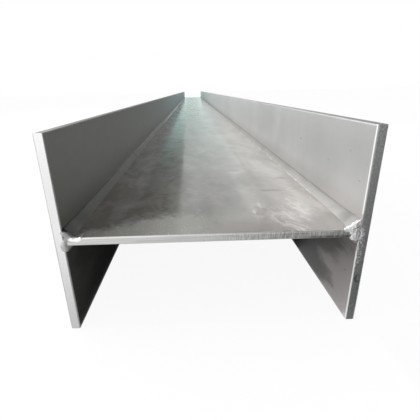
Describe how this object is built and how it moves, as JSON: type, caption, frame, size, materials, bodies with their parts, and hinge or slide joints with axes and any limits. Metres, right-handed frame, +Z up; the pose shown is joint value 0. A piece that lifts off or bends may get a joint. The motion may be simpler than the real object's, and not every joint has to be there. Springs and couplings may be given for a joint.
{
  "type": "welded steel h-beam",
  "caption": "Welded H-section steel beam: a web plate fillet-welded between parallel flange plates, with plain cut ends.",
  "frame": {"origin": "on the floor, below the middle of the beam", "axes": "+Y along the beam, +X across the section from one flange to the other, +Z up, square to the web"},
  "size_m": [0.3, 6, 0.2],
  "materials": {
    "flange_steel": "plain plate, satin grey with fine rolling grain, faint mottling and bright deburred edges",
    "web_steel": "plain plate, satin grey with scuffs, smudges and a warm tint, rough cut across the ends",
    "weld_steel": "fillet weld bead brushed clean, with fine ripples, ground bright where it boxes round the ends"
  },
  "bodies": {
    "root": {"flange_plate_left": "flange_steel", "flange_plate_right": "flange_steel", "web_plate": "web_steel", "fillet_weld_upper_left": "weld_steel", "fillet_weld_upper_right": "weld_steel", "fillet_weld_lower_left": "weld_steel", "fillet_weld_lower_right": "weld_steel"}
  },
  "joints": []
}
